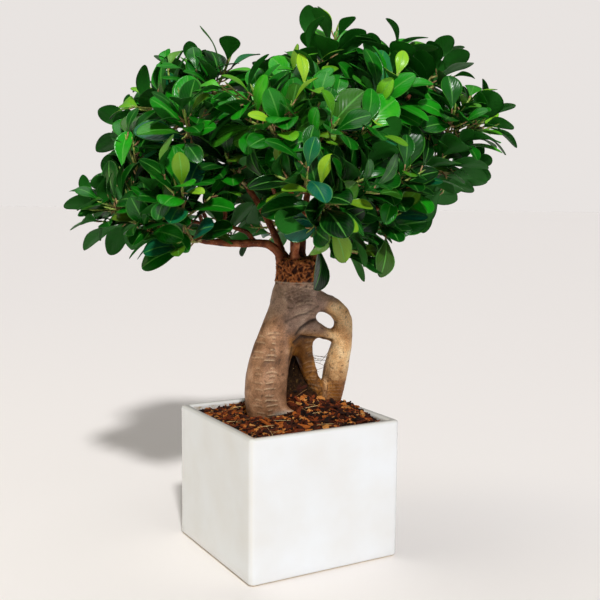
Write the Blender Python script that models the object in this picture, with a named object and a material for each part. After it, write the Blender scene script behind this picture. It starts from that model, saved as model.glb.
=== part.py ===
"""A grafted ginseng-type ficus bonsai in a square glazed ceramic planter.

The tree's front is turned towards one corner of the planter. The tree's own points are in millimetres from
the middle of the pot's base: x to the right of the tree's front, y away from the front, z up.
"""

import math
import random

import bmesh
import bpy
from mathutils import Matrix, Vector
from mathutils.bvhtree import BVHTree

MM = 0.001
GAP = 0.0003  # between neighbouring pieces

# Planter
POT_SIDE = 0.160
POT_HEIGHT = 0.134
POT_WALL = 0.0085
POT_FLOOR = 0.010
POT_CORNER = 0.006  # radius of the upright edges
RIM_RADIUS = 0.003
INNER_CORNER = 0.002  # radius of the upright edges inside
FOOT_CHAMFER = 0.0015

# Soil and mulch
SOIL_TOP = 0.118
MULCH_EDGE = 0.1275  # height of the mulch against the pot's wall
MULCH_HEAP = 0.017  # how much higher it is heaped round the roots
MULCH_HEAP_REACH = 0.040
MULCH_HEAP_AT = (20, 14)
MOUND_AT = (13, 26)  # old root-ball soil that stands up between the legs
MOUND_HEIGHT = 0.050
MOUND_REACH = 0.012
MULCH_LUMP = 0.0012
ROOT_SOCKET_GAP = 0.0007  # left round the roots where they go through the mulch and soil

# Tree
TREE_TURN = math.radians(-30)
LEAVES_PER_SHOOT = 14
LEAF_PITCH = 0.005  # between two leaves along the twig
LEAF_START = 0.003  # first leaf below the twig's tip
LEAF_LENGTH = 0.040
LEAF_WIDTH_SHARE = 0.58
PETIOLE_LENGTH = 0.007
LEAF_THICKNESS = 0.0012
GOLDEN_ANGLE = math.radians(137.5)
TWIG_BASE_RADIUS = 0.0017
TWIG_TIP_RADIUS = 0.0011
CLEARANCE = 0.0008  # kept round each leaf when it is placed
PETIOLE_WIDTH = 0.0016
WIDEST_AT = 0.56  # share of the leaf's length, from its foot
LEAF_TRIES = 26  # slightly different directions tried for a leaf before it is left out
ROUTE_TRIES = 60  # routes tried for a twig
ROUTE_SPINS = (0, 0.6, -0.6, 1.2, -1.2)  # turns round the branch, in radians
ROUTE_POINTS = 40
LOW_FACE = ((0, 0), (0, 1), (1, 1))  # the lower triangle of a twig's side: ring and corner of each point
HIGH_FACE = ((0, 0), (1, 1), (1, 0))
NECK_KEEP_OUT = 0.0240  # radius round the neck that twigs and leaves stay out of

# Swollen roots: centre line points with the radius at each, from the neck down into the soil
ROOTS = {
    "neck": [(11, 0, 286.4, 23), (11, 0, 272, 22.5), (9, 0, 262, 21.5), (7, 1, 250, 23), (5, 2, 236, 24)],
    "fat_leg": [
        (5, 2, 240, 22), (-2, 0, 224, 21), (-10, -2, 205, 20), (-16, -4, 188, 20.5), (-20, -5, 170, 21.5),
        (-21, -6, 152, 21.5), (-21, -6, 138, 20), (-20, -5, 124, 15), (-18, -4, 108, 8),
    ],
    "arching_root": [
        (14, 2, 247, 13), (32, 6, 244, 10), (46, 11, 237, 9.6), (54, 15, 227, 9.2), (56, 18, 214, 9.6),
        (54, 22, 198, 11), (50, 25, 182, 12.5), (48, 28, 167, 13), (48, 30, 154, 11), (48, 31, 142, 8),
        (47, 31, 126, 5.5), (45, 31, 110, 4),
    ],
    "inner_root": [
        (10, 4, 222, 9), (15, 5, 209, 9.5), (17, 8, 190, 9.5), (23, 13, 168, 8), (32, 18, 150, 7.5),
        (36, 21, 136, 8), (38, 23, 120, 6), (39, 24, 106, 4),
    ],
    "cross_root": [(12, 0, 221, 9), (24, -1, 218, 8.5), (36, 8, 212, 7), (50, 18, 206, 6)],
    "toe_root": [(-14, -10, 144, 9), (0, -15, 137, 6), (10, -17, 133, 4.5), (18, -18, 124, 3.5)],
}

# Grafted branches: centre line points and the radius at both ends
BRANCHES = {
    "left_branch": (4.6, 2.2, [
        (-7, -4, 289), (-20, -8, 300), (-45, -12, 300), (-66, -14, 301), (-92, -18, 305), (-128, -16, 318),
        (-158, -12, 332),
    ]),
    "upper_left_branch": (3.8, 1.8, [
        (-5, 9, 289), (-22, 20, 325), (-50, 28, 366), (-84, 30, 402), (-104, 28, 428),
    ]),
    "front_branch": (3.4, 1.8, [
        (7, -15, 289), (9, -34, 306), (14, -62, 322), (24, -90, 340), (30, -110, 352),
    ]),
    "front_top_branch": (3.4, 1.7, [(5, -3, 290), (4, -20, 330), (0, -42, 375), (-6, -56, 412)]),
    "leader": (4.0, 1.8, [(13, 5, 290), (15, 4, 325), (22, 4, 370), (34, 8, 415), (42, 6, 455)]),
    "right_branch": (3.8, 1.8, [
        (26, -6, 289), (38, -10, 304), (62, -15, 322), (100, -14, 345), (138, -6, 372), (158, -2, 392),
    ]),
    "upper_right_branch": (3.6, 1.8, [
        (25, 9, 289), (44, 18, 325), (70, 18, 370), (98, 14, 412), (116, 14, 444),
    ]),
    "back_branch": (3.6, 1.8, [(8, 17, 289), (6, 46, 308), (2, 80, 330), (-2, 112, 352), (-4, 136, 372)]),
}

# The tip of each shoot, grouped by the branch that it grows on
SHOOTS = {
    "left_branch": [
        (-190, 10, 335), (-170, -30, 343), (-128, -48, 322), (-98, -60, 303), (-90, -95, 350),
        (-134, -5, 374), (-155, 70, 335), (-70, 40, 312),
    ],
    "upper_left_branch": [
        (-130, 5, 443), (-90, -75, 415), (-57, 7, 478), (-100, 70, 476), (-166, 60, 418), (-55, -60, 380),
    ],
    "front_branch": [
        (44, -112, 321), (62, -72, 297), (-5, -125, 360), (25, -140, 350), (65, -120, 360),
    ],
    "front_top_branch": [
        (-30, -85, 435), (-5, -110, 405), (40, -120, 405), (73, -106, 407), (15, -75, 440),
    ],
    "leader": [(44, 0, 501), (2, -20, 455), (108, 10, 487), (55, 85, 475), (-25, 85, 460), (95, -65, 450)],
    "right_branch": [
        (192, 0, 425), (158, -20, 398), (105, -80, 370), (98, -58, 330), (162, 22, 372), (128, 75, 360),
        (72, 60, 330), (150, -45, 425),
    ],
    "upper_right_branch": [(142, 26, 482), (115, 85, 452), (80, 110, 420)],
    "back_branch": [
        (-25, 95, 318), (-60, 130, 350), (55, 140, 360), (-15, 165, 395), (-80, 120, 410), (35, 150, 415),
        (105, 125, 385),
    ],
}


def tree_point(point):
    """A point of the tree, in metres in the world, from its millimetres."""
    return Matrix.Rotation(TREE_TURN, 3, "Z") @ (Vector(point[:3]) * MM)


def new_material(name, colour, roughness, metallic=0.0):
    material = bpy.data.materials.new(name)
    material.use_nodes = True
    shader = material.node_tree.nodes["Principled BSDF"]
    shader.inputs["Base Color"].default_value = (*colour, 1.0)
    shader.inputs["Roughness"].default_value = roughness
    shader.inputs["Metallic"].default_value = metallic
    material.diffuse_color = (*colour, 1.0)
    return material


def new_object(name, vertices, faces, material):
    """A mesh object with its faces turned outwards."""
    mesh = bpy.data.meshes.new(name)
    mesh.from_pydata([tuple(v) for v in vertices], [], faces)
    shape = bmesh.new()
    shape.from_mesh(mesh)
    bmesh.ops.recalc_face_normals(shape, faces=shape.faces)
    shape.to_mesh(mesh)
    shape.free()
    mesh.materials.append(material)
    item = bpy.data.objects.new(name, mesh)
    bpy.context.scene.collection.objects.link(item)
    return item


def smooth_path(points, steps):
    """A Catmull-Rom curve through the points, with the given steps in each stretch."""
    first, last = 2 * points[0] - points[1], 2 * points[-1] - points[-2]
    run = [first, *points, last]
    path = []
    for a, b, c, d in zip(run, run[1:], run[2:], run[3:]):
        for step in range(steps):
            t = step / steps
            bend = (2 * a - 5 * b + 4 * c - d) * t**2 + (3 * b - a - 3 * c + d) * t**3
            path.append(b + 0.5 * ((c - a) * t + bend))
    return [*path, points[-1]]


def ring_frames(path):
    """The tangent and two crossing directions at each point of a path, carried along without twist."""
    frames = []
    across = None
    for index, point in enumerate(path):
        ahead = path[min(index + 1, len(path) - 1)]
        behind = path[max(index - 1, 0)]
        tangent = (ahead - behind).normalized()
        if across is None:
            across = tangent.orthogonal()
        across = (across - tangent * across.dot(tangent)).normalized()
        frames.append((point, tangent, across, tangent.cross(across)))
    return frames


def tube(path, radii, sides):
    """A closed tube along a path: its vertices and faces."""
    vertices = []
    for (point, _, u, v), radius in zip(ring_frames(path), radii):
        for side in range(sides):
            turn = math.tau * side / sides
            vertices.append(point + (u * math.cos(turn) + v * math.sin(turn)) * radius)
    faces = [tuple(reversed(range(sides)))]
    for ring in range(len(path) - 1):
        for side in range(sides):
            a, b = ring * sides + side, ring * sides + (side + 1) % sides
            faces.append((a, b, b + sides, a + sides))
    last = (len(path) - 1) * sides
    faces.append(tuple(range(last, last + sides)))
    return vertices, faces


def tree_of(vertices, faces):
    """A search tree of a mesh, for testing what it touches."""
    return BVHTree.FromPolygons([tuple(v) for v in vertices], faces)


# ---------------------------------------------------------------- planter, soil and mulch


def rounded_square(half, corner, height, steps):
    """A ring of points round a square with rounded corners."""
    ring = []
    for quarter in range(4):
        turn = Matrix.Rotation(quarter * math.pi / 2, 3, "Z")
        for step in range(steps + 1):
            angle = math.pi / 2 * step / steps
            x = half - corner + corner * math.cos(angle)
            y = half - corner + corner * math.sin(angle)
            ring.append(turn @ Vector((x, y, height)))
    return ring


def loft(rings):
    """A closed body through rings of equal length, with flat ends."""
    count = len(rings[0])
    vertices = [point for ring in rings for point in ring]
    faces = [tuple(reversed(range(count)))]
    for ring in range(len(rings) - 1):
        for side in range(count):
            a, b = ring * count + side, ring * count + (side + 1) % count
            faces.append((a, b, b + count, a + count))
    last = (len(rings) - 1) * count
    faces.append(tuple(range(last, last + count)))
    return vertices, faces


def make_pot():
    """Slip-cast square planter: rounded upright edges, rounded rim, flat base with a small chamfer."""
    half, inner = POT_SIDE / 2, POT_SIDE / 2 - POT_WALL
    profile = [
        (half - FOOT_CHAMFER, 0.0),
        (half, FOOT_CHAMFER),
    ]
    for step in range(5):
        angle = math.pi / 2 * step / 4
        profile.append((
            half - RIM_RADIUS + RIM_RADIUS * math.cos(angle),
            POT_HEIGHT - RIM_RADIUS + RIM_RADIUS * math.sin(angle),
        ))
    for step in range(1, 5):
        angle = math.pi / 2 * (1 + step / 4)
        profile.append((
            inner + RIM_RADIUS + RIM_RADIUS * math.cos(angle),
            POT_HEIGHT - RIM_RADIUS + RIM_RADIUS * math.sin(angle),
        ))
    profile.append((inner, POT_FLOOR + RIM_RADIUS))
    profile.append((inner - RIM_RADIUS, POT_FLOOR))
    rings = [
        rounded_square(size, max(INNER_CORNER, POT_CORNER + size - half), height, 3)
        for size, height in profile
    ]
    vertices, faces = loft(rings)
    new_object("ceramic_pot", vertices, faces, new_material("ceramic_pot", (0.86, 0.85, 0.82), 0.12))


def mulch_height(x, y):
    """Height of the mulch: heaped round the roots, with the old root ball standing up between the legs."""
    heap = tree_point((*MULCH_HEAP_AT, 0))
    mound = tree_point((*MOUND_AT, 0))
    from_heap = math.hypot(x - heap.x, y - heap.y) / MULCH_HEAP_REACH
    from_mound = math.hypot(x - mound.x, y - mound.y) / MOUND_REACH
    lumps = math.sin(x * 310) * math.sin(y * 350 + 1) + 0.6 * math.sin(x * 730 + y * 570)
    return (
        MULCH_EDGE
        + MULCH_HEAP * math.exp(-0.5 * from_heap**2)
        + MOUND_HEIGHT * math.exp(-0.5 * from_mound**2)
        + MULCH_LUMP * lumps
    )


def cut(item, cutter):
    """Takes the cutter's shape out of the item."""
    modifier = item.modifiers.new("cut", "BOOLEAN")
    modifier.operation = "DIFFERENCE"
    modifier.solver = "EXACT"
    modifier.object = cutter


def make_soil(cutter):
    """The block of soil in the pot, with sockets where the roots go down."""
    half = POT_SIDE / 2 - POT_WALL - GAP
    low = POT_FLOOR + GAP
    rings = [
        rounded_square(half - RIM_RADIUS, INNER_CORNER, low, 2),
        rounded_square(half, INNER_CORNER, low + RIM_RADIUS, 2),
        rounded_square(half, INNER_CORNER, SOIL_TOP, 2),
    ]
    vertices, faces = loft(rings)
    material = new_material("potting_soil", (0.03, 0.02, 0.012), 0.95)
    cut(new_object("potting_soil", vertices, faces, material), cutter)


def make_mulch(cutter):
    """The layer of bark chips, as one lumpy body round the roots."""
    half = POT_SIDE / 2 - POT_WALL - GAP
    count = 14
    low = SOIL_TOP + GAP
    spots = [-half + 2 * half * step / count for step in range(count + 1)]
    vertices = [Vector((x, y, mulch_height(x, y))) for y in spots for x in spots]
    for corner in (0, count, len(vertices) - 1 - count, len(vertices) - 1):
        vertices[corner] *= 1 - INNER_CORNER / half
        vertices[corner].z = MULCH_EDGE
    border = [*range(count), *(count + (count + 1) * k for k in range(count))]
    border += [(count + 1) * (count + 1) - 1 - k for k in range(count)]
    border += [(count + 1) * (count - k) for k in range(count)]
    faces = []
    for row in range(count):
        for column in range(count):
            a = row * (count + 1) + column
            faces.append((a, a + 1, a + count + 2, a + count + 1))
    base = len(vertices)
    vertices += [Vector((vertices[i].x, vertices[i].y, low)) for i in border]
    for index, top in enumerate(border):
        after = (index + 1) % len(border)
        faces.append((top, base + index, base + after, border[after]))
    faces.append(tuple(range(base, base + len(border))))
    material = new_material("bark_mulch", (0.16, 0.06, 0.025), 0.9)
    cut(new_object("bark_mulch", vertices, faces, material), cutter)


# ---------------------------------------------------------------- rootstock and branches


def root_body(name, swell):
    """The swollen roots grown into one body; swell makes the cutter that leaves a gap round them."""
    vertices, faces = [], []
    for line in ROOTS.values():
        points = smooth_path([tree_point(p) for p in line], 3)
        radii = [r.x * MM for r in smooth_path([Vector((p[3], 0, 0)) for p in line], 3)]
        more, sides = tube(points, radii, 12)
        faces += [tuple(index + len(vertices) for index in face) for face in sides]
        vertices += more
    item = new_object(name, vertices, faces, new_material(name, (0.45, 0.30, 0.17), 0.6))
    grown = item.modifiers.new("grown_together", "REMESH")
    grown.mode = "VOXEL"
    grown.voxel_size = 0.0035
    smooth = item.modifiers.new("smooth", "SMOOTH")
    smooth.factor = 0.5
    smooth.iterations = 4
    fewer = item.modifiers.new("fewer", "DECIMATE")
    fewer.ratio = 0.32
    if swell:
        wider = item.modifiers.new("swell", "DISPLACE")
        wider.mid_level = 0.0
        wider.strength = swell
        item.hide_render = True
        item.display_type = "WIRE"
    return item


def branch_path(name):
    return smooth_path([tree_point(p) for p in BRANCHES[name][2]], 2)


def branch_radii(name, count):
    base, end, _ = BRANCHES[name]
    return [(base + (end - base) * index / (count - 1)) * MM for index in range(count)]


def make_branch(name):
    """One grafted branch: a tapering bare stem that its shoots grow from."""
    path = branch_path(name)
    vertices, faces = tube(path, branch_radii(name, len(path)), 7)
    new_object(name, vertices, faces, new_material(name, (0.24, 0.11, 0.06), 0.75))
    return tree_of(vertices, faces)


# ---------------------------------------------------------------- leaf sprays


def bezier(a, b, c, d, t):
    s = 1 - t
    return a * s**3 + b * (3 * s * s * t) + c * (3 * s * t * t) + d * t**3


def rise_at(height):
    """How steeply a shoot ends: the lowest lie level, the highest stand up."""
    return math.radians(-6 + 78 * min(1.0, max(0.0, (height - 0.29) / 0.20)))


def twig_rings(length):
    """Distances from the twig's base at which its rings stand: close together where the leaves are."""
    pitch = 2 * LEAF_PITCH
    leafy = [length - LEAF_START - pitch * k for k in range((LEAVES_PER_SHOOT + 1) // 2 + 1)]
    leafy = [x for x in leafy if x > pitch]
    bare = leafy[-1]  # length of the twig below its leaves
    return [0.0, bare / 2, *reversed(leafy), length]


def lay_twig(branch, radii, tip, taken):
    """The twig's path from the branch to its tip, on the first route that crosses nothing."""
    nearest = min(range(len(branch)), key=lambda k: (branch[k] - tip).length)
    for step in range(ROUTE_TRIES):
        back = 0.6 + 0.5 * (step // len(ROUTE_SPINS))
        spin = ROUTE_SPINS[step % len(ROUTE_SPINS)]
        place = min(max(nearest - back, 0.6), len(branch) - 1.4)
        index = int(place)
        share = place - index
        root = branch[index].lerp(branch[index + 1], share)
        along = (branch[index + 1] - branch[index]).normalized()
        out = tip - root
        side = Matrix.Rotation(spin, 3, along) @ (out - along * out.dot(along)).normalized()
        start = root + side * (radii[index] + GAP)
        reach = (tip - start).length
        level = Vector((out.x, out.y, 0)).normalized()
        rise = rise_at(tip.z)
        final = level * math.cos(rise) + Vector((0, 0, math.sin(rise)))
        points = [
            bezier(start, start + side * reach * 0.3, tip - final * reach * 0.45, tip, k / ROUTE_POINTS)
            for k in range(ROUTE_POINTS + 1)
        ]
        lengths = [0.0]
        for a, b in zip(points, points[1:]):
            lengths.append(lengths[-1] + (b - a).length)
        path = []
        for want in twig_rings(lengths[-1]):
            after = next((k for k in range(1, ROUTE_POINTS) if lengths[k] >= want), ROUTE_POINTS)
            local = (want - lengths[after - 1]) / (lengths[after] - lengths[after - 1])
            path.append(points[after - 1].lerp(points[after], local))
        widths = [
            TWIG_BASE_RADIUS + (TWIG_TIP_RADIUS - TWIG_BASE_RADIUS) * k / (len(path) - 1)
            for k in range(len(path))
        ]
        fat = tree_of(*tube(path, widths, 6))
        if not any(fat.overlap(other) for other in taken):
            return path, widths
    return None


def leaf_rings(leaf, extra):
    """The leaf's sections from petiole to tip, as rings of left edge, right edge and keel."""
    stalk, blade, up, length, width = (leaf[k] for k in ("stalk", "blade", "up", "length", "width"))
    foot = leaf["base"] + stalk * PETIOLE_LENGTH
    rings = []
    for centre, forward, wide in (
        (foot, (stalk + blade).normalized(), PETIOLE_WIDTH),
        (foot + blade * length * WIDEST_AT, blade, width),
    ):
        over = (up - forward * up.dot(forward)).normalized()
        side = over.cross(forward)
        half = wide / 2 + extra
        rings.append([
            centre + side * half + over * extra,
            centre - side * half + over * extra,
            centre - over * (LEAF_THICKNESS + extra),
        ])
    return rings, foot + blade * (length + extra)


def leaf_hull(leaf, stalk_share):
    """A slightly larger leaf, to keep others away from it, from that share of its stalk outwards."""
    rings, tip = leaf_rings(leaf, CLEARANCE)
    drop = leaf["stalk"] * PETIOLE_LENGTH * (1 - stalk_share)
    first = [point - drop for point in rings[0]]
    points = [*first, *rings[0], *rings[1], tip]
    faces = [(2, 1, 0)]
    for ring in (0, 3):
        for k in range(3):
            a, b = ring + k, ring + (k + 1) % 3
            faces.append((a, b, b + 3, a + 3))
    faces += [(6, 7, 9), (7, 8, 9), (8, 6, 9)]
    return tree_of(points, faces)


def add_section(vertices, faces, previous, ring):
    """Joins a leaf's next three-cornered section to the last one, turned so that the sides don't twist."""
    def directions(points):
        middle = sum(points, Vector()) / 3
        return [(point - middle).normalized() for point in points]

    below, above = directions([vertices[k] for k in previous]), directions(ring)
    shift = max(range(3), key=lambda s: sum(below[k].dot(above[(k + s) % 3]) for k in range(3)))
    start = len(vertices)
    vertices += [ring[(k + shift) % 3] for k in range(3)]
    for k in range(3):
        after = (k + 1) % 3
        faces.append((previous[k], previous[after], start + after))
        faces.append((previous[k], start + after, start + k))
    return (start, start + 1, start + 2)


def leaf_body(leaf):
    """The leaf as it is built, from just above its face of the twig, or None if it folds through itself."""
    rings, tip = leaf_rings(leaf, 0.0)
    vertices = [leaf["base"].lerp(corner, 0.85) + leaf["stalk"] * GAP for corner in leaf["corners"]]
    faces, previous = [], (0, 1, 2)
    for ring in rings:
        previous = add_section(vertices, faces, previous, ring)
    vertices.append(tip)
    for k in range(3):
        faces.append((previous[k], previous[(k + 1) % 3], len(vertices) - 1))
    body = tree_of(vertices, faces)
    if any(not set(faces[a]) & set(faces[b]) for a, b in body.overlap(body)):
        return None
    return body


def twig_corner(frame, radius, corner):
    """A corner of the three-sided twig at one of its rings."""
    point, _, across, over = frame
    turn = math.tau * corner / 3
    return point + (across * math.cos(turn) + over * math.sin(turn)) * radius


def grow_leaves(path, widths, seed, own, solids, leaves_taken):
    """Leaves up the twig by the golden angle, each turned or opened until it touches nothing."""
    rng = random.Random(seed)
    frames = ring_frames(path)
    phase = rng.uniform(0, math.tau)
    twig = tree_of(*tube(path, widths, 3))
    leaves, bodies = [], []
    for index in range(LEAVES_PER_SHOOT):
        segment = len(path) - 3 - index // 2
        if segment < 1:
            break
        low = frames[segment]
        age = index / (LEAVES_PER_SHOOT - 1)
        grown = min(1.0, 0.6 + 0.1 * index)
        length = LEAF_LENGTH * grown * rng.uniform(0.88, 1.12)
        for attempt in range(LEAF_TRIES):
            turn = phase + index * GOLDEN_ANGLE + rng.uniform(-0.12, 0.12) * attempt
            opened = math.radians(34 + 44 * age + rng.uniform(-7, 7) + 2 * attempt)
            side = min(range(3), key=lambda k: -math.cos(turn - math.tau * (k + 0.5) / 3))
            if any(leaf["segment"] == segment and leaf["side"] == side for leaf in leaves):
                turn += math.tau / 3
                side = (side + 1) % 3
            outward = low[2] * math.cos(turn) + low[3] * math.sin(turn)
            stalk = (low[1] * math.cos(opened) + outward * math.sin(opened)).normalized()
            lift = 0.18 - 0.06 * age + 0.75 * max(0.0, -stalk.z) - 0.02 * attempt * rng.random()
            blade = (stalk + outward * 0.25 + Vector((0, 0, lift))).normalized()
            up = low[1] * 0.8 + Vector((0, 0, 0.7)) - outward * 0.2
            up = (up - blade * up.dot(blade)).normalized()
            foot = HIGH_FACE if index % 2 == 0 else LOW_FACE
            corners = [
                twig_corner(frames[segment + end], widths[segment + end], side + step) for end, step in foot
            ]
            leaf = {
                "segment": segment, "side": side, "high": index % 2 == 0,
                "base": sum(corners, Vector()) / 3, "corners": corners,
                "stalk": stalk, "blade": blade, "up": up,
                "length": length, "width": length * LEAF_WIDTH_SHARE * rng.uniform(0.92, 1.08),
            }
            centre = leaf["base"] + stalk * PETIOLE_LENGTH + blade * length * 0.5
            radius = PETIOLE_LENGTH + length * 0.5
            hull = leaf_hull(leaf, 0.25)
            near = (other for other, at, size in leaves_taken if (at - centre).length < radius + size)
            if any(hull.overlap(other) for other in (*solids, *near)):
                continue
            if leaf_hull(leaf, 0.5).overlap(own):
                continue
            body = leaf_body(leaf)
            if body is None or any(body.overlap(other) for other in (twig, *bodies)):
                continue
            bodies.append(body)
            leaves_taken.append((hull, centre, radius))
            leaves.append(leaf)
            break
    return leaves


def make_spray(name, path, widths, leaves, material):
    """A twig with its leaves as one closed body: each leaf grows out of a face of the three-sided twig."""
    vertices, _ = tube(path, widths, 3)
    faces = [(2, 1, 0)]
    last = (len(path) - 1) * 3
    faces.append((last, last + 1, last + 2))
    by_face = {(leaf["segment"], leaf["side"], leaf["high"]): leaf for leaf in leaves}
    for segment in range(len(path) - 1):
        for side in range(3):
            a, b = segment * 3 + side, segment * 3 + (side + 1) % 3
            for high, corners in ((False, (a, b, b + 3)), (True, (a, b + 3, a + 3))):
                leaf = by_face.get((segment, side, high))
                if leaf is None:
                    faces.append(corners)
                    continue
                rings, tip = leaf_rings(leaf, 0.0)
                previous = corners
                for ring in rings:
                    previous = add_section(vertices, faces, previous, ring)
                vertices.append(tip)
                for k in range(3):
                    faces.append((previous[k], previous[(k + 1) % 3], len(vertices) - 1))
    new_object(name, vertices, faces, material)


def make_crown():
    """All branches first, then every twig, then the leaves, so that nothing grows through anything else."""
    solids = [make_branch(name) for name in BRANCHES]
    neck = [tree_point(p) for p in ROOTS["neck"]]
    solids.append(tree_of(*tube(neck, [NECK_KEEP_OUT] * len(neck), 12)))
    twigs = []
    for branch, tips in SHOOTS.items():
        line = branch_path(branch)
        radii = branch_radii(branch, len(line))
        for number, tip in enumerate(tips, 1):
            laid = lay_twig(line, radii, tree_point(tip), solids)
            if laid is None:
                raise ValueError(f"no clear way for {branch} shoot {number}")
            solids.append(tree_of(*tube(laid[0], [w + CLEARANCE for w in laid[1]], 6)))
            twigs.append((f"{branch.removesuffix('_branch')}_spray_{number}", *laid))
    leaves_taken = []
    total = 0
    for seed, (name, path, widths) in enumerate(twigs):
        own = solids[len(solids) - len(twigs) + seed]
        others = [solid for solid in solids if solid is not own]
        leaves = grow_leaves(path, widths, seed, own, others, leaves_taken)
        total += len(leaves)
        material = new_material(name, (0.02, 0.16, 0.02), 0.35)
        make_spray(name, path, widths, leaves, material)
    print("leaves placed:", total, "of", LEAVES_PER_SHOOT * len(twigs))


for item in list(bpy.data.objects):
    bpy.data.objects.remove(item)
root_body("rootstock", 0.0)
root_cutter = root_body("root_cutter", ROOT_SOCKET_GAP)
make_pot()
make_soil(root_cutter)
make_mulch(root_cutter)
make_crown()
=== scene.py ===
"""A grafted ginseng-type ficus bonsai in a white glazed cube planter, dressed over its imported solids."""

import math
import random

import bpy
import numpy as np
from mathutils import Matrix, Vector, noise
from mathutils.bvhtree import BVHTree


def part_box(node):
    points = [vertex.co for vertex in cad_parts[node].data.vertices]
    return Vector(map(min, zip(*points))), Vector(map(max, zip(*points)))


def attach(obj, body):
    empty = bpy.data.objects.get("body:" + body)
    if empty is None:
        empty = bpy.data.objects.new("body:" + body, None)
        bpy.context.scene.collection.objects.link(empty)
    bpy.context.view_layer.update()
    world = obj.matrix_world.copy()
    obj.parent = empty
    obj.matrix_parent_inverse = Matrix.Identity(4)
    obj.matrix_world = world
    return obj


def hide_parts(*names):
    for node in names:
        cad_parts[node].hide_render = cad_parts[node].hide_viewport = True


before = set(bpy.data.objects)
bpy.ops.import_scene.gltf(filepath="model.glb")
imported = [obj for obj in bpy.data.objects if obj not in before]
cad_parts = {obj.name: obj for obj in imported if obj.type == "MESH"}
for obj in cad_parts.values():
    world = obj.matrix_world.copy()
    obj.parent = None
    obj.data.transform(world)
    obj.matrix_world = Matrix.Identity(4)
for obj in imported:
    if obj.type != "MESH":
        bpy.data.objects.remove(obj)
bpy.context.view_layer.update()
MM = 0.001

# ---- planter
# A cube planter, slip-cast in earthenware and dipped in opaque white glaze. The walls draw in a little as
# they dry, the glaze runs thin over the rim and the upright edges, and the foot is wiped bare to stand on.


def linear(hex_colour):
    """sRGB hex to the linear colour that a shader socket takes."""
    channels = [int(hex_colour[k:k + 2], 16) / 255 for k in (1, 3, 5)]
    return (*[c / 12.92 if c <= 0.04045 else ((c + 0.055) / 1.055) ** 2.4 for c in channels], 1.0)


def wire(tree, node, links):
    """Links a node's inputs, each to a number named on the surface, a node's live output, or a socket."""
    for name, source in links.items():
        if isinstance(source, str):
            reader = tree.nodes.new("ShaderNodeAttribute")
            reader.attribute_name = source
            source = reader.outputs["Fac"]
        elif isinstance(source, bpy.types.Node):
            source = next(output for output in source.outputs if output.enabled)
        tree.links.new(source, node.inputs[name])


def add_node(tree, kind, settings=None, links=None):
    """Adds a shader node, sets its properties, sockets and colour stops, and links its inputs."""
    node = tree.nodes.new("ShaderNode" + kind)
    if kind == "Mix":
        node.data_type = "RGBA"  # every mix here is of two colours
    for name, value in (settings or {}).items():
        if name == "stops":
            for number, (position, colour) in enumerate(value):
                stops = node.color_ramp.elements
                stop = stops[number] if number < 2 else stops.new(position)
                stop.position = position
                stop.color = linear(colour) if isinstance(colour, str) else (colour, colour, colour, 1)
        elif isinstance(name, int) or name in node.inputs.keys():
            node.inputs[name].default_value = linear(value) if isinstance(value, str) else value
        else:
            setattr(node, name, value)
    wire(tree, node, links or {})
    return node


def new_material(name, settings):
    """A material with its shader's own sockets set: also its node tree, its shader and its coordinates."""
    material = bpy.data.materials.new(name)
    material.use_nodes = True
    tree = material.node_tree
    shader = tree.nodes["Principled BSDF"]
    for socket, value in settings.items():
        shader.inputs[socket].default_value = linear(value) if isinstance(value, str) else value
    return material, tree, shader, add_node(tree, "TexCoord").outputs["Object"]


def make_piece(name, mesh, nodes, materials):
    """Puts a finished mesh in the scene as a piece that stands for the given solids."""
    mesh.materials.clear()
    for material in materials:
        mesh.materials.append(material)
    mesh.shade_smooth()
    piece = bpy.data.objects.new(name, mesh)
    bpy.context.scene.collection.objects.link(piece)
    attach(piece, "root")
    if nodes:
        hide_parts(*nodes)
    return piece


def name_numbers(mesh, **attributes):
    """Names a number or a vector on each point of a mesh, for its material to read."""
    for label, values in attributes.items():
        values = np.asarray(values, np.float32)
        kind, field = ("FLOAT", "value") if values.ndim == 1 else ("FLOAT_VECTOR", "vector")
        mesh.attributes.new(label, kind, "POINT").data.foreach_set(field, values.ravel())


def mesh_of(name, vertices, faces, **attributes):
    """A mesh with named numbers on its points."""
    mesh = bpy.data.meshes.new(name)
    mesh.from_pydata([tuple(v) for v in vertices], [], faces)
    name_numbers(mesh, **attributes)
    return mesh


pot_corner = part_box("ceramic_pot")[1]
POT_HALF, POT_HEIGHT = pot_corner.x, pot_corner.z
WALL = 8.5 * MM
RIM = 3.2 * MM  # radius of the rim's edges
EDGE = 6 * MM  # radius of the upright edges
FLOOR = 10 * MM
SLUMP = 0.4 * MM  # how far the walls draw in
RIPPLE = 0.22 * MM


def square_ring(inset, height, arc_steps=9, run_steps=14):
    """Points round a square with rounded corners, that far inside the planter's outer face."""
    half = POT_HALF - inset
    radius = min(max(2.5 * MM, EDGE - inset), half)
    ring = []
    for quarter in range(4):
        turn = Matrix.Rotation(quarter * math.pi / 2, 3, "Z")
        for step in range(arc_steps + 1):
            angle = math.pi / 2 * step / arc_steps
            x, y = (half - radius + radius * f(angle) for f in (math.cos, math.sin))
            ring.append(turn @ Vector((x, y, height)))
        for step in range(1, run_steps):
            along = (half - radius) * (1 - 2 * step / run_steps)
            ring.append(turn @ Vector((along, half, height)))
    return ring


def quads_between(rings, count):
    """Faces between rings of that many points each."""
    return [
        (r * count + k, r * count + (k + 1) % count, (r + 1) * count + (k + 1) % count, (r + 1) * count + k)
        for r in range(rings - 1) for k in range(count)
    ]


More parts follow.
